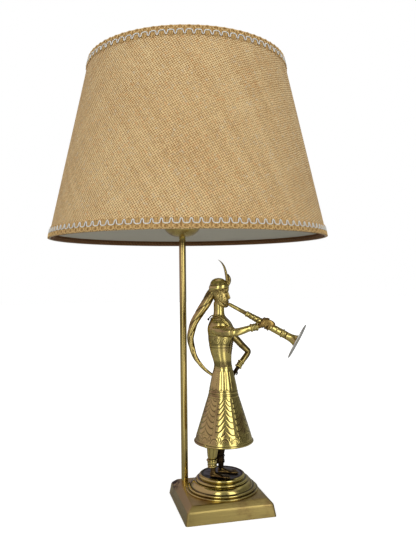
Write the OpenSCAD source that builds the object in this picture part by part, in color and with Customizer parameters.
// Table lamp: a fabric shade on an offset post, beside a brass horn player on a turned plinth.
// Millimetres, +Z up. The origin is the middle of the square base, on the surface it stands on.
// The base's sides run along X and Y, and the post stands near its back left corner.

/* [Base] */
// Side of the square base at the floor
base_side = 125; // [115:1:150]
// Height of the leaning side wall
side_h = 16; // [14:0.5:30]
// Distance that the side wall leans in
draft = 2.8; // [1:0.1:5]
// Height of the bevel above the side wall
bevel_h = 6.5; // [4:0.5:12]
// Width of the bevel, seen from above
bevel_w = 7.5; // [4:0.5:12]
// Sheet thickness of the base shell
shell_t = 1.5; // [1:0.1:3]
// Height of the pad's face below the shell's edge
pad_proud = 0.5; // [0.3:0.1:2]
// Thickness of the felted bottom plate
pad_t = 2.5; // [1.5:0.1:4]
// Side of the iron weight
weight_side = 84; // [60:1:90]
// Thickness of the iron weight
weight_t = 9; // [5:0.5:10]
// Radius of the grommet's hole for the cord
inlet_r = 3.6; // [3:0.1:4.5]
// Height of the cord inlet above the floor
inlet_z = 9.5; // [9:0.5:11]

/* [Post] */
// Distance from the middle of the base to the post, to the left
post_left = 42.5; // [40:0.5:46]
// Distance from the middle of the base to the post, to the back
post_back = 41; // [40:0.5:46]
// Radius of the post
post_r = 5; // [4.5:0.1:6]
// Wall of the post's tube
post_wall = 1; // [0.8:0.1:1.5]
// Height of the post's top above the floor
post_top = 378.5; // [330:0.5:450]
// Thickness of the post's nut
post_nut_t = 5; // [3:0.5:6]

/* [Plinth] */
// Radius of the plinth's foot
plinth_r = 51; // [48:0.5:56]
// Height of the plinth
plinth_h = 22; // [18:0.5:30]
// Sheet thickness of the plinth
plinth_t = 1.4; // [1:0.1:2.5]
// Distance of the plinth's axis from the middle of the base, to the right
plinth_right = 3; // [0:0.5:4]
// Diameter of the screw that holds the plinth down
plinth_screw_d = 6; // [5:0.5:8]

/* [Figure] */
// Angle that the figure is turned on the plinth
figure_turn = -24; // [-40:1:10]
// Distance of the figure's axis from the plinth's, to the front
figure_front = 9; // [4:0.5:10]
// Height of the hem above the plinth
hem_z = 46; // [40:0.5:60]
// Height of the skirt, from hem to waist
skirt_h = 108; // [90:1:140]
// Radius of the skirt at the hem
hem_r = 40.5; // [36:0.5:48]
// Radius of the skirt at its band
band_r = 20.3; // [18:0.1:24]
// Radius of the waist
waist_r = 12.7; // [11:0.1:15]
// Wall of the skirt
skirt_t = 1.2; // [0.8:0.1:2]
// Height of the torso, from waist to neck
torso_h = 72; // [60:1:90]
// Half depth of the chest
chest_r = 18; // [15:0.5:20]
// Radius of the neck
neck_r = 7.3; // [6:0.1:9]
// Length of the neck that shows
neck_h = 12; // [8:0.5:20]
// Height of the head, from jaw to crown
head_h = 41; // [36:0.5:48]
// Half depth of the head, from face to back
head_r = 12.6; // [11:0.1:15]
// Thickness of the cap over the head
cap_t = 1.2; // [0.8:0.1:2]
// Distance of each leg's axis from the figure's middle plane
leg_gap = 9.5; // [8:0.5:11]
// Distance that the far leg stands ahead of the near one
stride = 8; // [0:0.5:12]
// Radius of the ankle
ankle_r = 3.8; // [3:0.1:5]
// Radius of the calf
calf_r = 7.4; // [6:0.1:8]
// Radius of the braid at its thickest
braid_r = 6.8; // [5:0.1:8]
// Distance of the braid's bow behind the figure's axis
braid_reach = 45.8; // [38:0.1:48]
// Radius of the upper arm
arm_r = 7.4; // [6:0.1:8.5]
// Radius of the wrist
wrist_r = 3.6; // [3:0.1:4.5]

/* [Horn] */
// Length of the horn
horn_l = 106; // [90:1:130]
// Angle that the horn points down
horn_drop = 27.6; // [15:0.2:35]
// Angle that the horn swings to the near side
horn_swing = 8; // [0:0.5:12]
// Radius of the mouth pipe
pipe_r = 2.7; // [2:0.1:3]
// Radius of the horn's body
horn_r = 5.2; // [4:0.1:6]
// Radius of the flared bell, where it meets the disc
flare_r = 10.2; // [8:0.1:12]
// Radius of the disc at the horn's end
disc_r = 25.3; // [20:0.1:30]
// Thickness of the disc
disc_t = 1.2; // [0.8:0.1:2]
// Distance from the mouthpiece to the hand, along the horn
grip_at = 57.5; // [50:0.5:70]

/* [Lampholder] */
// Radius of the threaded nipple between post and lampholder
nipple_r = 4; // [3.5:0.1:4.5]
// Length of nipple that shows above the post
nipple_show = 3.5; // [2:0.5:8]
// Height of the holder cup
cup_h = 18; // [14:0.5:24]
// Radius of the holder cup's rim
cup_r = 27; // [25:0.5:30]
// Wall of the holder cup
cup_t = 1.2; // [0.8:0.1:2]
// Thickness of the harp's saddle strip
saddle_t = 1.5; // [1:0.1:2.5]
// Thickness of the nut on the saddle
saddle_nut_t = 3; // [2:0.5:5]
// Radius of the lampholder's shell
socket_r = 17.5; // [17:0.1:20]
// Height of the lampholder, without its cap
socket_h = 47; // [44:0.5:55]
// Height of the lampholder's domed cap
socket_cap_h = 11; // [9:0.5:16]
// Wall of the lampholder's shell and cap
socket_t = 0.7; // [0.5:0.1:1.2]
// Radius of the switch shaft
switch_r = 2; // [1.5:0.1:2.5]
// Radius of the switch knob
knob_r = 6.5; // [5:0.1:8]
// Length of the switch knob
knob_l = 9; // [6:0.5:14]

/* [Bulb] */
// Radius of the bulb's glass
bulb_r = 30; // [25:0.5:32]
// Length of the bulb, tip to crown
bulb_l = 106; // [98:1:118]
// Radius of the bulb's screw cap
bulb_cap_r = 13; // [12.8:0.05:13.1]
// Wall of the bulb's glass
glass_t = 0.9; // [0.6:0.1:1.5]

/* [Harp] */
// Height of the harp above its saddle
harp_h = 218; // [200:1:240]
// Half width of the harp at its widest
harp_w = 54; // [45:1:62]
// Radius of the harp's wire
harp_wire_r = 1.6; // [1.4:0.1:2]
// Half distance between the harp's feet
harp_foot = 30.3; // [29.5:0.1:34]
// Distance that the harp's top leans to the right
lean_right = 9.2; // [0:0.1:12]
// Distance that the harp's top leans to the front
lean_front = 1.9; // [0:0.1:6]
// Length of the sleeves over the harp's feet
sleeve_l = 12; // [8:0.5:14]
// Radius of the stud on top of the harp
stud_r = 3.1; // [3:0.05:3.3]

/* [Shade] */
// Outer radius of the cover at the bottom
shade_r = 199; // [180:1:215]
// Outer radius of the cover at the top
shade_top_r = 141; // [120:1:160]
// Height of the shade
shade_h = 254.4; // [230:0.5:262]
// Depth of the hub below the shade's top
shade_recess = 13.6; // [8:0.2:30]
// Thickness of the woven cover
cover_t = 1.2; // [0.8:0.1:2]
// Thickness of the stiff lining
lining_t = 0.8; // [0.4:0.1:1.5]
// Radius of the two wire rings
ring_r = 1.5; // [1.2:0.1:2.5]
// Thickness of the hem tape rolled round the bottom ring
hem_t = 0.9; // [0.5:0.1:1.5]
// Width of the gimp trim
gimp_w = 15; // [8:0.5:20]
// Thickness of the gimp trim
gimp_t = 1.6; // [1:0.1:2.5]
// Number of spokes in the spider
spokes = 3; // [3:1:4]
// Radius of the spokes
spoke_r = 1.5; // [1:0.1:2]
// Radius of the finial's ball
finial_r = 7; // [5:0.5:10]

/* [Hidden] */
$fn = 64;

// Clearances: a close fit, a running fit, a gap between parts that pass, and a cut's overrun
fit = 0.05;
run = 0.08;
pass = 0.3;
over = 1;

// Base
half = base_side / 2;
half_mid = half - draft;
half_top = half_mid - bevel_w;
side_top = pad_proud + side_h;
base_top = side_top + bevel_h;
under_top = base_top - shell_t;
wall_angle = atan(draft / side_h);
pad_inset = 1;
pad_half = half - shell_t - pad_inset;
washer_t = 1.5;
post_nut_r = 7.5;
post_washer_r = 8;
post_end = 4;
plate_top = pad_t;

// Cord inlet, square to the back wall
inlet_y = half - draft * (inlet_z - pad_proud) / side_h;
grommet_neck_r = inlet_r + 1;
grommet_flange_r = inlet_r + 2.4;
grommet_flange_t = 1.5;

// Plinth and its fixings
disc_dip = 0.5;
stand_z = base_top + plinth_h - disc_dip;
plinth_y = -0.5;
disc_top_r = plinth_r - 21;
plinth_in = plinth_r - 6.5;
bar_w = 14;
bar_t = 3.4;
bar_lift = 0.6;
bar_z = base_top + bar_lift;
foot_screw_r = 1.5;
foot_head_t = 2.5;
screw_head_r = 5;
screw_head_t = 3;

// Figure heights above the plinth
figure_x = plinth_right + 0.8;
figure_y = plinth_y - figure_front;
waist_z = hem_z + skirt_h;
neck_z = waist_z + torso_h;
jaw_z = neck_z + neck_h - 2;
crown_z = jaw_z + head_h;
hem_roll_r = 1.6;
band_z = hem_z + skirt_h * 0.62;
band_h = 5;
hip_plate_t = 3;
hip_z = band_z - hip_plate_t - 1;
hip_r = band_r - skirt_t - fit;
anklet_z = 14;
anklet_h = 12;
cuff_l = 10.5;
foot_h = 8;
leg_x = -6 - stride;
far_leg_x = leg_x + stride;
neck_x = -5.3;
head_x = -4.2;
mouth = [head_x + head_r + 2.6, 0, jaw_z + head_h * 0.085];
shoulder_z = waist_z + torso_h * 0.69;
right_elbow = [21, -25, shoulder_z - 0.3];
left_elbow = [31.7, 33, shoulder_z - 33];
left_wrist = [18.4, 20, waist_z - 5.4];
left_palm = [12.8, 14.5, waist_z - 14];

// Horn
horn_dir = [cos(horn_drop) * cos(horn_swing), -cos(horn_drop) * sin(horn_swing), -sin(horn_drop)];
grip = mouth + grip_at * horn_dir;
right_wrist = grip + [-11, -6.5, -2.6];
ring_one = 27;
flare_at = horn_l - 16;
ring_two = flare_at - 7;
finger_r = 1.9;

// Post and lampholder heights
cup_z = post_top + nipple_show;
saddle_z = cup_z + cup_h;
saddle_top = saddle_z + saddle_t;
holder_z = saddle_top + saddle_nut_t;
shell_z = holder_z + socket_cap_h - 2;
shell_top = shell_z + socket_h;
switch_z = shell_z + 12;
block_h = 20;
seat_z = shell_z + block_h;
screw_in_r = bulb_cap_r + pass;
screw_wall = 0.4;
contact_r = 4;
liner_t = 0.5;
liner_r = socket_r - socket_t - fit;
knob_gap = 1.2;
knob_in = socket_r + knob_gap;

// Bulb
tip_z = seat_z + 1.6;
tip_h = 3;
cap_h = 22;
glass_z = tip_z + tip_h + cap_h - 3;
bulb_top = tip_z + bulb_l;
bulb_mid = bulb_top - bulb_r;

// Harp
harp_z = saddle_top + pass;
harp_top = saddle_top + harp_h;
stud_plate_t = 3;
stud_plate_r = 8;
wire_top = harp_top - stud_plate_t - harp_wire_r;
leg_top = saddle_top + 26;
wide_z = leg_top + (wire_top - leg_top) * 0.44;
tab_in = harp_foot - harp_wire_r - pass - saddle_t;
tab_h = 15;
tab_half = 1.8;
sleeve_x = harp_foot - 0.85;
sleeve_in = 3.4;
sleeve_out = 4.2;

// Shade
top_z = saddle_top + harp_h + shade_recess;
bottom_z = top_z - shade_h;
slope = (shade_r - shade_top_r) / shade_h;
lean = atan(slope);
wall_gap = 0.1;
wall_w = (cover_t + lining_t + wall_gap) / cos(lean);
hub_t = 2;
hub_r = 12;
hub_mid = harp_top + hub_t / 2;
stud_h = 11.5;
washer_z = harp_top + hub_t;
finial_washer_t = 1.2;
finial_z = washer_z + finial_washer_t;
finial_h = 27;
top_wire_z = top_z - ring_r - 0.3;
bottom_wire_z = bottom_z + ring_r + hem_t + 0.2;
top_wire_r = cone_r(top_wire_z) - wall_w - ring_r - wall_gap;
bottom_wire_r = cone_r(bottom_wire_z) - wall_w - ring_r - hem_t - wall_gap;
gimp_h = gimp_w * cos(lean);

// Outer radius of the shade's cover at height z
function cone_r(z) = shade_r - slope * (z - bottom_z);

// A smooth curve through the points p, with n steps between neighbours
function blend_at(p, i, t) =
    let (a = p[max(i - 1, 0)], b = p[i], c = p[min(i + 1, len(p) - 1)], d = p[min(i + 2, len(p) - 1)])
    0.5 * (2 * b + (c - a) * t + (2 * a - 5 * b + 4 * c - d) * t * t + (3 * b - a - 3 * c + d) * t * t * t);
function smooth(p, n) = [for (i = [0:len(p) - 2]) for (s = [0:n - 1]) blend_at(p, i, s / n), p[len(p) - 1]];

function mix(a, b, f) = a + (b - a) * f;
function place(q) = [q[0], q[1], q[2]];
function unit(v) = v / norm(v);
function heading(q, i) = unit(place(q[min(i + 1, len(q) - 1)]) - place(q[max(i - 1, 0)]));
function loop_at(q, i, across, sides) =
    let (t = heading(q, i), u = unit(cross(across, t)), v = cross(t, u))
    [for (k = [0:sides - 1])
        place(q[i]) + q[i][3] * cos(360 * k / sides) * u + q[i][4] * sin(360 * k / sides) * v];
function level_loop(row, sides) =
    [for (k = [0:sides - 1])
        [row[0] + row[3] * cos(360 * k / sides), row[1] + row[4] * sin(360 * k / sides), row[2]]];

// A closed skin over loops of points that run anticlockwise about the way they advance
module skin(loops) {
    n = len(loops);
    sides = len(loops[0]);
    points = [for (l = loops) each l];
    walls = [for (i = [0:n - 2]) for (k = [0:sides - 1])
        let (a = i * sides + k, b = i * sides + (k + 1) % sides)
        each [[a, b + sides, b], [a, a + sides, b + sides]]];
    ends = [[for (k = [0:sides - 1]) k], [for (k = [sides - 1:-1:0]) (n - 1) * sides + k]];
    polyhedron(points, concat(walls, ends), convexity = 6);
}

// A limb along points [x, y, z, radius, radius across], and a body of level ovals in the same form
module limb(q, across = [0, 1, 0], sides = 12) {
    skin([for (i = [0:len(q) - 1]) loop_at(q, i, across, sides)]);
}

module stack(q, sides = 24) {
    skin([for (row = q) level_loop(row, sides)]);
}

module ring(r_out, r_in, h) {
    difference() {
        cylinder(r = r_out, h = h);
        translate([0, 0, -over]) cylinder(r = r_in, h = h + 2 * over);
    }
}

module wire_ring(r_wire, r_ring, z) {
    translate([0, 0, z]) rotate_extrude() translate([r_ring, 0]) circle(r = r_wire, $fn = 24);
}

module at_post(z = 0) {
    translate([-post_left, post_back, z]) children();
}

module at_shade(z = 0) {
    translate([lean_right - post_left, post_back - lean_front, z]) children();
}

module at_figure() {
    translate([figure_x, figure_y, stand_z]) rotate(figure_turn) children();
}

module at_horn() {
    at_figure() translate(mouth) rotate([0, 0, -horn_swing]) rotate([0, 90 + horn_drop, 0]) children();
}

module at_inlet() {
    translate([0, inlet_y, inlet_z]) rotate([wall_angle - 90, 0, 0]) children();
}

// A block whose four sides have the outline of the base, made smaller by inset
module base_block(inset) {
    drop = inset > 0 ? over : 0;
    foot = half - inset + drop * draft / side_h;
    outline = [[-foot, pad_proud - drop], [foot, pad_proud - drop], [half_mid - inset, side_top],
        [half_top - inset, base_top - inset], [inset - half_top, base_top - inset],
        [inset - half_mid, side_top]];
    intersection() {
        rotate([90, 0, 0]) linear_extrude(base_side + 2, center = true) polygon(outline);
        rotate([90, 0, 90]) linear_extrude(base_side + 2, center = true) polygon(outline);
    }
}

module base_shell() {
    color("#b39a48")
    difference() {
        base_block(0);
        base_block(shell_t);
        at_post(under_top - over) cylinder(r = post_r + fit, h = shell_t + 2 * over);
        translate([plinth_right, plinth_y, under_top - over])
            cylinder(d = plinth_screw_d + pass, h = shell_t + 2 * over);
        at_inlet() translate([0, 0, -shell_t * 2]) cylinder(r = grommet_neck_r + fit, h = shell_t * 4);
    }
}

module base_plate() {
    color("#2f3b2c")
    translate([-pad_half, -pad_half, 0]) cube([pad_half * 2, pad_half * 2, pad_t]);
}

module base_weight() {
    color("#4a4a4a")
    difference() {
        translate([plinth_right - weight_side / 2, plinth_y - weight_side / 2, plate_top])
            cube([weight_side, weight_side, weight_t]);
        at_post(0) cylinder(r = post_washer_r + 2, h = base_top);
    }
}

module cord_grommet() {
    color("#1d1d1d")
    at_inlet()
    difference() {
        union() {
            translate([0, 0, -shell_t]) cylinder(r = grommet_neck_r, h = shell_t);
            cylinder(r = grommet_flange_r, h = grommet_flange_t);
            translate([0, 0, -shell_t - grommet_flange_t]) cylinder(r = grommet_flange_r,
                h = grommet_flange_t);
        }
        translate([0, 0, -shell_t - 2 * grommet_flange_t])
            cylinder(r = inlet_r, h = shell_t + 4 * grommet_flange_t);
    }
}

module post() {
    color("#a8903f")
    at_post(post_end) ring(post_r, post_r - post_wall, post_top - post_end);
}

module post_washer() {
    color("#9c9c98")
    at_post(under_top - washer_t) ring(post_washer_r, post_r + fit, washer_t);
}

module post_nut() {
    color("#b8a04c")
    at_post(under_top - washer_t - post_nut_t)
    difference() {
        cylinder(r = post_nut_r, h = post_nut_t, $fn = 6);
        translate([0, 0, -over]) cylinder(r = post_r + fit, h = post_nut_t + 2 * over);
    }
}

// Turned outline of the plinth, from the foot up: foot, bead, ogee, step and top ring
function bead(r, z, rise, bulge) = [for (a = [-60:20:60]) [r + bulge * cos(a), z + rise * sin(a)]];
function plinth_outline() = concat(
    [[plinth_r - 0.6, 0], [plinth_r, plinth_h * 0.025], [plinth_r, plinth_h * 0.07]],
    [[plinth_r - 0.7, plinth_h * 0.1], [plinth_r - 2.5, plinth_h * 0.115]],
    bead(plinth_r - 5, plinth_h * 0.19, plinth_h * 0.07, 1.8),
    [[plinth_r - 6.6, plinth_h * 0.265]],
    [for (t = [0:0.2:1]) [plinth_r - 7.6 - 6.6 * sin(70 * t), plinth_h * (0.305 + 0.265 * t)]],
    bead(plinth_r - 16, plinth_h * 0.664, plinth_h * 0.073, 2),
    [[plinth_r - 18, plinth_h * 0.755]],
    bead(plinth_r - 20.3, plinth_h * 0.873, plinth_h * 0.09, 1.9),
    [[disc_top_r, plinth_h]]);

module plinth() {
    outer = plinth_outline();
    color("#b59c46")
    translate([plinth_right, plinth_y, base_top])
    difference() {
        rotate_extrude()
            polygon(concat([[0, 0]], outer, [[disc_top_r, plinth_h - disc_dip], [0, plinth_h - disc_dip]]));
        translate([0, 0, -over]) cylinder(r = plinth_in, h = bar_lift + bar_t + fit + over);
        translate([0, 0, bar_lift + bar_t + fit - over])
            cylinder(r1 = plinth_in - 2.5, r2 = plinth_r - 15.2 - plinth_t, h = plinth_h * 0.31 + over);
        cylinder(r = disc_top_r - plinth_t, h = plinth_h - plinth_t - disc_dip);
        foot_holes();
    }
}

module foot_holes() {
    translate([figure_x - plinth_right, figure_y - plinth_y, 0]) rotate(figure_turn)
        for (side = [-1, 1]) translate([side < 0 ? leg_x : far_leg_x, side * leg_gap, plinth_h / 2])
            cylinder(r = foot_screw_r + fit, h = plinth_h);
}

module plinth_bar() {
    color("#8f8f8c")
    translate([plinth_right, plinth_y, bar_z])
    difference() {
        intersection() {
            translate([-plinth_r, -bar_w / 2, 0]) cube([plinth_r * 2, bar_w, bar_t]);
            cylinder(r = plinth_in - fit, h = bar_t);
        }
        translate([0, 0, -over]) cylinder(d = plinth_screw_d + 2 * fit, h = bar_t + 2 * over);
    }
}

module plinth_screw() {
    color("#9a9a96")
    translate([plinth_right, plinth_y, 0]) {
        translate([0, 0, under_top - screw_head_t]) cylinder(r = screw_head_r, h = screw_head_t);
        translate([0, 0, under_top - over]) cylinder(d = plinth_screw_d, h = bar_z + bar_t - under_top + 2);
    }
}

module foot_screws() {
    color("#9a9a96")
    at_figure() for (side = [-1, 1]) translate([side < 0 ? leg_x : far_leg_x, side * leg_gap, 0]) {
        translate([0, 0, -plinth_t - foot_head_t]) cylinder(r = 2 * foot_screw_r, h = foot_head_t);
        translate([0, 0, -plinth_t - over]) cylinder(r = foot_screw_r, h = plinth_t + foot_h * 0.6 + over);
    }
}

module each_side() {
    for (side = [-1, 1]) translate([side < 0 ? leg_x : far_leg_x, side * leg_gap, 0]) children();
}

module feet() {
    color("#6b5a33")
    at_figure() each_side()
    difference() {
        stack(smooth([[10.6, 0, 0, 15.2, 5.3], [10.5, 0, 1.4, 15.6, 5.6], [9.4, 0, 3.2, 14.2, 5],
            [5, 0, foot_h * 0.66, 9.4, 4.3], [1.2, 0, foot_h * 0.86, 5, ankle_r],
            [0, 0, foot_h, ankle_r, ankle_r]], 2), 20);
        translate([0, 0, -over]) cylinder(r = foot_screw_r + fit, h = foot_h * 0.6 + over + pass);
    }
}

// One leg, from ankle to hip, side -1 for the near one
module leg(side) {
    x = side < 0 ? leg_x : far_leg_x;
    y = side * leg_gap;
    limb(smooth([[x, y, foot_h, ankle_r, ankle_r], [x, y, anklet_z, ankle_r + 0.4, ankle_r + 0.4],
        [x - 1.8, y, anklet_z + anklet_h, calf_r - 1.1, calf_r - 1.1],
        [x - 0.6, y, hem_z - 3, calf_r, calf_r],
        [x * 0.86, y * 0.9, hem_z + skirt_h * 0.2, calf_r - 1, calf_r - 1],
        [x * 0.45, y * 0.6, hip_z + over, 5.5, 5.5]], 3), [0, 1, 0], 16);
}

module legs() {
    color("#a08a40")
    at_figure() {
        leg(-1);
        leg(1);
    }
}

module anklets() {
    color("#94803c")
    at_figure() each_side() translate([-1, 0, anklet_z]) rotate([0, -4, 0])
    rotate_extrude()
        polygon(concat([[ankle_r + 0.9, 0]], bead(calf_r - 1.8, anklet_h * 0.17, anklet_h * 0.15, 1.3),
            bead(calf_r - 2, anklet_h * 0.5, anklet_h * 0.13, 1), bead(calf_r - 1.4, anklet_h * 0.83,
                anklet_h * 0.15, 1.3),
            [[calf_r - 1.6, anklet_h], [calf_r - 2.6, anklet_h]]));
}

module hip_plate() {
    color("#a08a40")
    at_figure() translate([0, 0, hip_z]) cylinder(r = hip_r, h = hip_plate_t);
}

module skirt() {
    wall = skirt_t * 1.05;
    outline = [[hem_r, hem_z + hem_roll_r], [hem_r - 0.9, hem_z + skirt_h * 0.07], [band_r, band_z],
        [band_r - 1, band_z + band_h], [waist_r, waist_z]];
    inside = [for (i = [len(outline) - 1:-1:0]) [outline[i][0] - wall, outline[i][1]]];
    color("#b59d49")
    at_figure() {
        rotate_extrude() polygon(concat(outline, inside));
        wire_ring(hem_roll_r, hem_r - hem_roll_r * 0.3, hem_z + hem_roll_r);
        wire_ring(1, band_r - 0.2, band_z);
        wire_ring(0.9, band_r - 1.1, band_z + band_h);
    }
}

module torso() {
    w = waist_r;
    c = chest_r;
    h = torso_h;
    color("#a9924a")
    at_figure()
    stack(smooth([[0, 0, waist_z, w, w + 0.7], [-0.4, 0, waist_z + h * 0.07, w, w + 0.8],
        [-2.2, 0, waist_z + h * 0.22, c - 3.6, c - 2.5], [-2.9, 0, waist_z + h * 0.43, c - 1.2, c + 0.5],
        [-3, 0, waist_z + h * 0.6, c, c + 1.5], [-3.4, 0, waist_z + h * 0.72, c - 0.2, c + 1.7],
        [-4, 0, waist_z + h * 0.83, c - 2.4, c + 0.4], [-4.6, 0, waist_z + h * 0.92, c - 6.6, c - 3],
        [neck_x, 0, neck_z, neck_r + 0.7, neck_r + 0.7]], 2), 28);
}

// Level ovals of the head, from jaw to crown
function head_row(f, x, rx, ry) = [head_x + x, 0, jaw_z + head_h * f, head_r * rx, head_r * ry];
function head_rows() = smooth([head_row(0, 3.6, 0.42, 0.4), head_row(0.08, 2, 0.74, 0.64),
    head_row(0.24, 0.6, 0.95, 0.79), head_row(0.44, 0, 1, 0.86), head_row(0.62, -0.2, 1.03, 0.88)], 2);
function cap_rows() = smooth([head_row(0.62, -0.2, 1.08, 0.94), head_row(0.66, -0.3, 1.12, 0.98),
    head_row(0.72, -0.3, 1.06, 0.92), head_row(0.84, -0.6, 0.88, 0.78), head_row(0.94, -0.8, 0.58, 0.52),
    head_row(1, -0.8, 0.12, 0.12)], 2);

module head() {
    face_x = head_x + head_r;
    ear_z = jaw_z + head_h * 0.4;
    color("#ad964a")
    at_figure() {
        translate([neck_x, 0, neck_z - over]) cylinder(r = neck_r, h = neck_h + 5 + over);
        stack(head_rows());
        limb([[face_x - 2.2, 0, jaw_z + head_h * 0.56, 1, 1],
            [face_x + 0.2, 0, jaw_z + head_h * 0.42, 1.4, 1.5],
            [face_x + 1.2, 0, jaw_z + head_h * 0.34, 1.7, 2.2],
            [face_x - 1, 0, jaw_z + head_h * 0.29, 1.4, 2]], [0, 1, 0], 10);
        limb([[mouth[0] - 7, 0, mouth[2], 2.6, 4], [mouth[0] - 2, 0, mouth[2], 2.3, 3],
            [mouth[0], 0, mouth[2], 1.9, 2.2]],
            [0, 1, 0], 12);
        for (side = [-1, 1])
            limb([[head_x - 2, side * head_r * 0.78, ear_z, 2, 3.6],
                [head_x - 2.2, side * (head_r * 0.78 + 1.6), ear_z, 2.4, 4.4],
                [head_x - 2.8, side * (head_r * 0.78 + 2.6), ear_z, 1.4, 3]], [0, 0, 1], 10);
    }
}

module cap() {
    color("#a08a45")
    at_figure() stack(cap_rows());
}

module plume() {
    x = head_x;
    z = crown_z;
    color("#94803c")
    at_figure() {
        limb(smooth([[x + 10.4, 0, z - 9, 2, 2.2], [x + 10.4, 0, z - 3, 2.2, 2.4],
            [x + 9.9, 0, z + 6, 2, 2],
            [x + 8, 0, z + 14, 1.6, 1.6], [x + 4.2, 0, z + 20, 1.1, 1.1],
            [x - 1.5, 0, z + 25, 0.3, 0.3]], 3), [0, 1, 0], 10);
        limb(smooth([[x + 11.8, 0, z - 11, 1.4, 1.4], [x + 14.2, 0, z - 5, 2, 2],
            [x + 14.4, 0, z, 1.7, 1.7],
            [x + 12.4, 0, z + 4, 0.5, 0.5]], 3), [0, 1, 0], 10);
    }
}

module braid() {
    top = jaw_z + head_h * 0.47;
    low = waist_z - skirt_h * 0.13;
    r = braid_r;
    far = braid_reach;
    color("#9a853f")
    at_figure()
    limb(smooth([[head_x - 0.85 * head_r, 0, top + 1, r * 0.95, r * 0.95],
        [-0.56 * far, 0, mix(low, top, 0.85), r, r],
        [-0.822 * far, 0, mix(low, top, 0.695), r * 0.86, r * 0.86],
        [-0.978 * far, 0, mix(low, top, 0.54), r * 0.78, r * 0.78],
        [-far, 0, mix(low, top, 0.4), r * 0.68, r * 0.68],
        [-0.862 * far, 0, mix(low, top, 0.22), r * 0.51, r * 0.51],
        [-0.614 * far, 0, mix(low, top, 0.09), r * 0.37, r * 0.37],
        [-waist_r - 2.6, 0, low, r * 0.29, r * 0.29]], 4));
}

module sash() {
    z = waist_z;
    h = torso_h;
    color("#8a7538")
    at_figure()
    limb(smooth([[-17, -6, z + h * 0.95, 0.8, 1.3], [-12.5, -8, z + h * 0.985, 0.8, 1.4],
        [-5, -10, z + h * 0.97, 0.8, 1.5],
        [6.8, -12, z + h * 0.87, 0.8, 1.5], [12.6, -10, z + h * 0.72, 0.8, 1.5],
        [15.2, -5, z + h * 0.62, 0.8, 1.5]], 3),
        [0, -1, 0.6], 8);
}

module tassel() {
    z = waist_z;
    h = torso_h;
    color("#94803c")
    at_figure()
    limb(smooth([[15, -5.4, z + h * 0.61, 1, 1], [14.6, -7, z + h * 0.5, 1.2, 1.2],
        [13.4, -8, z + h * 0.42, 1.9, 1.9],
        [12.9, -8.4, z + h * 0.3, 2.2, 2.2], [12, -8.6, z + h * 0.24, 0.6, 0.6]], 3), [0, 1, 0], 8);
}

module right_arm() {
    e = right_elbow;
    w = right_wrist;
    color("#a9924a")
    at_figure()
    limb(smooth([[-8, -13, shoulder_z + 1, arm_r, arm_r * 0.9], [3, -20, shoulder_z, arm_r, arm_r],
        [e[0] - 7, e[1] + 1, e[2], arm_r - 0.4, arm_r - 0.6],
        [e[0] + 1, e[1] + 0.6, e[2], arm_r - 2.2, arm_r - 2.2],
        [mix(e[0], w[0], 0.4), mix(e[1], w[1], 0.36), mix(e[2], w[2], 0.36), wrist_r + 1, wrist_r + 1],
        [w[0], w[1], w[2], wrist_r, wrist_r]], 3), [0, 0, 1], 14);
}

module left_arm() {
    e = left_elbow;
    w = left_wrist;
    color("#8f7b3c")
    at_figure()
    limb(smooth([[-4, 13, shoulder_z + 1, arm_r * 0.85, arm_r * 0.85],
        [9, 21, shoulder_z - 8, arm_r * 0.72, arm_r * 0.72],
        [e[0] - 9, e[1] - 4, e[2] + 9, wrist_r + 1.4, wrist_r + 1.4],
        [e[0], e[1], e[2], wrist_r + 0.9, wrist_r + 1.2],
        [e[0] - 6, e[1] - 6, e[2] - 10, wrist_r + 0.6, wrist_r + 0.6],
        [w[0], w[1], w[2], wrist_r - 0.5, wrist_r - 0.5]],
        2), [0, 1, 0], 14);
}

// Moves +Z at the origin to the point a, facing b
module facing(a, b) {
    d = unit(b - a);
    translate(a) rotate([0, acos(d[2]), atan2(d[1], d[0])]) children();
}

module cuff(r) {
    l = cuff_l;
    rotate_extrude() polygon([[r - 0.6, 0], [r + 1.5, 0], [r + 1.9, l * 0.14], [r + 1.1, l * 0.29],
        [r + 1.6, l * 0.48],
        [r + 1, l * 0.67], [r + 1.9, l * 0.86], [r + 1.5, l], [r - 0.6, l]]);
}

module cuffs() {
    e = right_elbow;
    color("#8a7538")
    at_figure() {
        facing(right_wrist, [mix(e[0], right_wrist[0], 0.4), mix(e[1], right_wrist[1], 0.36),
            right_wrist[2] - 3]) cuff(wrist_r);
        facing(left_wrist, left_elbow) cuff(wrist_r - 0.6);
    }
}

module right_hand() {
    w = right_wrist;
    g = grip;
    color("#8a7440")
    at_figure() {
        limb(smooth([[w[0], w[1], w[2], wrist_r - 0.3, wrist_r - 0.2],
            [g[0] - 6, g[1] - 7.6, g[2] + 0.2, 3.2, 4.4],
            [g[0] + 1, g[1] - 7.2, g[2] + 2.9, 2.6, 6.2], [g[0] + 8.5, g[1] - 6.2, g[2] + 1.1, 2.2, 5],
            [g[0] + 11.8, g[1] - 5, g[2] - 1.2, 0.8, 2]], 3),
            [0, 0, 1], 12);
    }
    color("#8a7440")
    at_horn() for (i = [0:3]) translate([0, 0, grip_at - 5.7 + i * 3.8]) rotate(125)
        rotate_extrude(angle = 200) translate([horn_r + finger_r * 0.8, 0]) circle(r = finger_r, $fn = 16);
}

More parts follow.
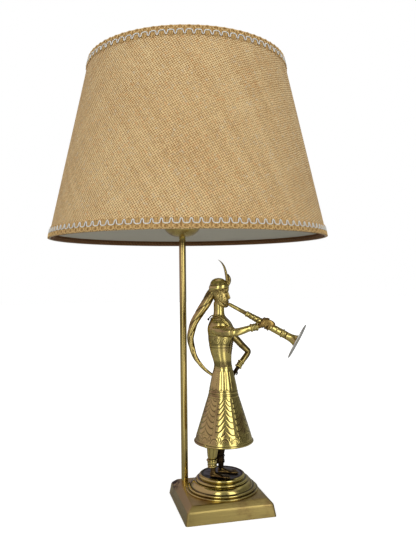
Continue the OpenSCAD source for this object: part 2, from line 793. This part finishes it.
module left_hand() {
    w = left_wrist;
    p = left_palm;
    color("#7d6a38")
    at_figure()
    limb(smooth([[w[0], w[1], w[2], wrist_r - 0.8, wrist_r - 0.8],
        [mix(w[0], p[0], 0.5), mix(w[1], p[1], 0.5), mix(w[2], p[2], 0.5), 2, 3.6],
        [p[0], p[1], p[2], 1.9, 4.2], [p[0] - 3, p[1] - 0.6, p[2] - 6, 1.5, 3.2],
        [p[0] - 4.6, p[1] - 0.6, p[2] - 9, 0.6, 1.4]], 3),
        [1, -1, 0], 10);
}

module horn_tube() {
    b = horn_r;
    color("#b8a04c")
    at_horn() rotate_extrude() polygon(concat([[0, 0], [pipe_r, 0], [pipe_r + 0.5, ring_one - 1.4]],
        bead(pipe_r + 0.6, ring_one, 1.2, 1.1), [[b - 1.2, ring_one + 2], [b - 0.5, grip_at - 12],
            [b, grip_at + 8], [b, ring_two - 1.4]],
        bead(b - 0.2, ring_two, 1.2, 1), [[b, ring_two + 1.6], [b, flare_at], [0, flare_at]]));
}

module horn_bell() {
    b = horn_r;
    l = horn_l;
    flare = [for (a = [0:15:90]) [b + (flare_r - b) * (1 - cos(a)),
        flare_at + (l - disc_t - flare_at) * sin(a)]];
    color("#b0a06a")
    at_horn() rotate_extrude() polygon(concat([[0, flare_at]], flare,
        [[disc_r, l + 0.2 - disc_t], [disc_r, l + 0.2], [flare_r, l], [b + 1, l - 0.4],
        [b - 1.6, l - 3], [0, l - 3.4]]));
}

module nipple() {
    color("#c9b560")
    at_post(post_top - 12) ring(nipple_r - fit, nipple_r - 1, shell_z + 4 - post_top + 12);
}

module holder_cup() {
    bowl = [for (a = [0:10:80]) [nipple_r + 0.7 + (cup_r - nipple_r - 0.7) * sin(a) / sin(80),
        cup_z + (cup_h - 2 * cup_t) * (1 - cos(a)) / (1 - cos(80))]];
    inner = [for (i = [len(bowl) - 1:-1:1]) [bowl[i][0] - cup_t, bowl[i][1] + cup_t * 0.6]];
    color("#a8913f")
    at_post() rotate_extrude() polygon(concat([[nipple_r + fit, cup_z - 0.2],
        [nipple_r + 0.7, cup_z - 0.2]], bowl,
        [[cup_r, saddle_z - cup_t], [cup_r - cup_t, saddle_z - cup_t]], inner, [[nipple_r + fit,
        cup_z + cup_t + 2]]));
}

module cup_plate() {
    color("#a8913f")
    at_post(saddle_z - cup_t) ring(cup_r, nipple_r + fit, cup_t);
}

module harp_saddle() {
    color("#c9b560")
    at_post(saddle_z)
    difference() {
        union() {
            translate([-harp_foot - harp_wire_r, -5, 0]) cube([2 * (harp_foot + harp_wire_r), 10,
                saddle_t]);
            for (side = [-1, 1]) translate([side * (tab_in + saddle_t / 2) - saddle_t / 2, -tab_half, 0])
                cube([saddle_t, 2 * tab_half, saddle_t + tab_h]);
        }
        translate([0, 0, -over]) cylinder(r = nipple_r + fit, h = saddle_t + 2 * over);
    }
}

module saddle_nut() {
    color("#c9b560")
    at_post(saddle_top)
    difference() {
        cylinder(r = nipple_r * 1.8, h = saddle_nut_t, $fn = 6);
        translate([0, 0, -over]) cylinder(r = nipple_r + fit, h = saddle_nut_t + 2 * over);
    }
}

module socket_cap() {
    r = socket_r + socket_t + fit;
    h = socket_cap_h;
    dome = [for (a = [0:15:90]) [nipple_r + 3 + (r - nipple_r - 3) * sin(a),
        holder_z + (h - 4) * (1 - cos(a))]];
    inner = [for (i = [len(dome) - 1:-1:0]) [dome[i][0] - socket_t, dome[i][1] + socket_t]];
    color("#b8a04c")
    at_post() rotate_extrude() polygon(concat([[nipple_r + fit, holder_z]], dome, [[r, holder_z + h]],
        [[r - socket_t, holder_z + h]], inner, [[nipple_r + fit, holder_z + socket_t]]));
}

module socket_shell() {
    color("#b8a04c")
    difference() {
        at_post(shell_z) ring(socket_r, socket_r - socket_t, socket_h);
        at_post(switch_z) rotate([90, 0, 0]) cylinder(r = switch_r + 0.5, h = socket_r * 2);
    }
}

module socket_liner() {
    color("#6d4b2a")
    difference() {
        at_post(shell_z + 2) ring(liner_r, liner_r - liner_t, socket_h - 3);
        at_post(switch_z) rotate([90, 0, 0]) cylinder(r = switch_r + 0.5, h = socket_r * 2);
    }
}

module socket_block() {
    color("#2a2420")
    difference() {
        at_post(shell_z + 5) ring(liner_r - liner_t - fit, nipple_r - 1, block_h - 5);
        at_post(switch_z) rotate([90, 0, 0]) cylinder(r = switch_r + run, h = socket_r * 2);
    }
}

module screw_shell() {
    color("#c7c2b2")
    at_post(seat_z)
    difference() {
        cylinder(r = screw_in_r + screw_wall, h = cap_h);
        translate([0, 0, screw_wall]) cylinder(r = screw_in_r, h = cap_h);
        translate([0, 0, -over]) cylinder(r = contact_r + pass, h = 3 * over);
    }
}

module centre_contact() {
    color("#c9b560")
    at_post(seat_z) cylinder(r = contact_r, h = tip_z - seat_z);
}

module switch_shaft() {
    color("#3a3a3a")
    at_post(switch_z) rotate([90, 0, 0]) translate([0, 0, nipple_r]) cylinder(r = switch_r,
        h = knob_in - nipple_r + knob_l - 2);
}

module switch_knob() {
    color("#221d1a")
    difference() {
        at_post(switch_z) rotate([90, 0, 0]) translate([0, 0, knob_in]) {
            cylinder(r = knob_r - 1, h = knob_l);
            for (a = [0:30:330]) rotate(a) translate([knob_r - 1.2, 0, 0]) cylinder(r = 1.2, h = knob_l);
        }
        at_post(switch_z) rotate([90, 0, 0]) translate([0, 0,
            knob_in - over]) cylinder(r = switch_r + fit, h = over + knob_l - 2);
    }
}

module bulb_tip() {
    color("#3a3431")
    at_post(tip_z) rotate_extrude() polygon([[0, 0], [contact_r, 0], [contact_r + 1, 0.8],
        [bulb_cap_r - 3.5, tip_h], [0, tip_h]]);
}

module bulb_cap() {
    color("#b9b9b4")
    at_post(tip_z + tip_h) ring(bulb_cap_r, bulb_cap_r - 0.6, cap_h);
}

module bulb_glass() {
    neck = bulb_cap_r - 0.8;
    outer = [for (a = [-48:8:88]) [bulb_r * cos(a), bulb_mid + bulb_r * sin(a)]];
    inner = [for (i = [len(outer) - 1:-1:0]) outer[i] * 1 - [glass_t * cos(i * 8 - 48),
        glass_t * sin(i * 8 - 48)]];
    color([0.96, 0.95, 0.9, 0.8])
    at_post() rotate_extrude() polygon(concat([[neck - glass_t, glass_z], [neck, glass_z],
        [neck + 0.6, glass_z + 9]], outer,
        [[0, bulb_top], [0, bulb_top - glass_t]], inner, [[neck + 0.6 - glass_t, glass_z + 9]]));
}

// Half width and height of the harp's wire, from one foot over the top to the other
function harp_half(z) = z < leg_top ? harp_foot
    : z < wide_z ? harp_foot + (harp_w - harp_foot) * (1 - cos(180 * (z - leg_top) / (wide_z - leg_top))) / 2
    : harp_w * sqrt(max(0, 1 - pow((z - wide_z) / (wire_top - wide_z), 2)));
function harp_shift(z) = let (f = max(0, z - leg_top) / (wire_top - leg_top)) [lean_right * f,
    -lean_front * f];
function harp_point(side, z) = let (s = harp_shift(z))
    [side * harp_half(z) + s[0] - post_left, s[1] + post_back, z, harp_wire_r, harp_wire_r];
harp_side = concat([harp_z, leg_top - 8], [for (i = [0:8]) mix(leg_top, wide_z, i / 8)],
    [for (a = [12:12:84]) mix(wide_z, wire_top, sin(a))]);

module harp() {
    rise = [for (z = harp_side) harp_point(1, z)];
    fall = [for (i = [len(harp_side) - 1:-1:0]) harp_point(-1, harp_side[i])];
    color("#c9b560")
    limb(concat(rise, [harp_point(1, wire_top)], fall), [0, 1, 0], 10);
}

module harp_stud() {
    color("#c9b560")
    at_shade() {
        translate([0, 0, harp_top - stud_plate_t]) cylinder(r = stud_plate_r, h = stud_plate_t);
        translate([0, 0, harp_top - over]) cylinder(r = stud_r, h = stud_h + over);
    }
}

module sleeve(side) {
    color("#c9b560")
    at_post(harp_z) translate([side * sleeve_x, 0, 0]) ring(sleeve_out, sleeve_in, sleeve_l);
}

module left_sleeve() {
    sleeve(-1);
}

module right_sleeve() {
    sleeve(1);
}

module shade_spider() {
    reach = top_wire_r - hub_r + 1.5;
    rise = top_wire_z - hub_mid;
    color("#c9b560")
    at_shade()
    difference() {
        union() {
            translate([0, 0, harp_top]) cylinder(r = hub_r, h = hub_t);
            for (i = [0:spokes - 1]) rotate(90 + i * 360 / spokes) translate([hub_r - 1.5, 0, hub_mid])
                rotate([0, 90 - atan(rise / reach), 0]) cylinder(r = spoke_r, h = norm([rise, reach]),
                    $fn = 24);
        }
        translate([0, 0, harp_top - over]) cylinder(r = stud_r + run, h = hub_t + 2 * over);
    }
}

module top_ring() {
    color("#c9b560")
    at_shade() wire_ring(ring_r, top_wire_r, top_wire_z);
}

module bottom_ring() {
    color("#c9b560")
    at_shade() wire_ring(ring_r, bottom_wire_r, bottom_wire_z);
}

// A band that follows the cover between two heights and two distances outside its face
module cone_band(z0, z1, inner, outer) {
    at_shade() rotate_extrude($fn = 120) polygon([[cone_r(z0) + inner, z0], [cone_r(z0) + outer, z0],
        [cone_r(z1) + outer, z1], [cone_r(z1) + inner, z1]]);
}

module shade_lining() {
    color("#d9d6cb")
    cone_band(bottom_z + 0.2, top_z - 0.2, -wall_w, -wall_w + lining_t / cos(lean));
}

module shade_cover() {
    color("#c8a86a")
    cone_band(bottom_z, top_z, -cover_t / cos(lean), 0);
}

module bottom_hem() {
    color("#6e4a26")
    at_shade(bottom_wire_z) rotate_extrude($fn = 120) translate([bottom_wire_r, 0]) difference() {
        circle(r = ring_r + hem_t, $fn = 24);
        circle(r = ring_r + fit, $fn = 24);
    }
}

module top_gimp() {
    color("#cdb482")
    cone_band(top_z - gimp_h, top_z, fit, gimp_t);
}

module bottom_gimp() {
    color("#cdb482")
    cone_band(bottom_z, bottom_z + gimp_h, fit, gimp_t);
}

module finial_washer() {
    color("#c9b560")
    at_shade(washer_z) ring(hub_r - 3, stud_r + run, finial_washer_t);
}

module finial() {
    ball = [for (a = [-50:14:76]) [finial_r * cos(a), finial_h - finial_r - 1 + finial_r * sin(a)]];
    color("#b8a04c")
    at_shade(finial_z)
    difference() {
        rotate_extrude() polygon(concat([[0, 0], [finial_r, 0], [finial_r, 1.6], [finial_r - 1.6, 3.2],
            [stud_r + 1.2, 6],
            [stud_r + 1, 9.5]], ball, [[1.6, finial_h - 0.8], [0, finial_h]]));
        translate([0, 0, -over]) cylinder(r = stud_r + run,
            h = over + stud_h - hub_t - finial_washer_t + 1);
    }
}

base_shell();
base_plate();
base_weight();
cord_grommet();
post();
post_washer();
post_nut();
plinth();
plinth_bar();
plinth_screw();
foot_screws();
feet();
legs();
anklets();
hip_plate();
skirt();
torso();
head();
cap();
plume();
braid();
sash();
tassel();
right_arm();
left_arm();
cuffs();
right_hand();
left_hand();
horn_tube();
horn_bell();
nipple();
holder_cup();
cup_plate();
harp_saddle();
saddle_nut();
socket_cap();
socket_shell();
socket_liner();
socket_block();
screw_shell();
centre_contact();
switch_shaft();
switch_knob();
bulb_tip();
bulb_cap();
bulb_glass();
harp();
harp_stud();
left_sleeve();
right_sleeve();
shade_spider();
top_ring();
bottom_ring();
shade_lining();
shade_cover();
bottom_hem();
top_gimp();
bottom_gimp();
finial_washer();
finial();
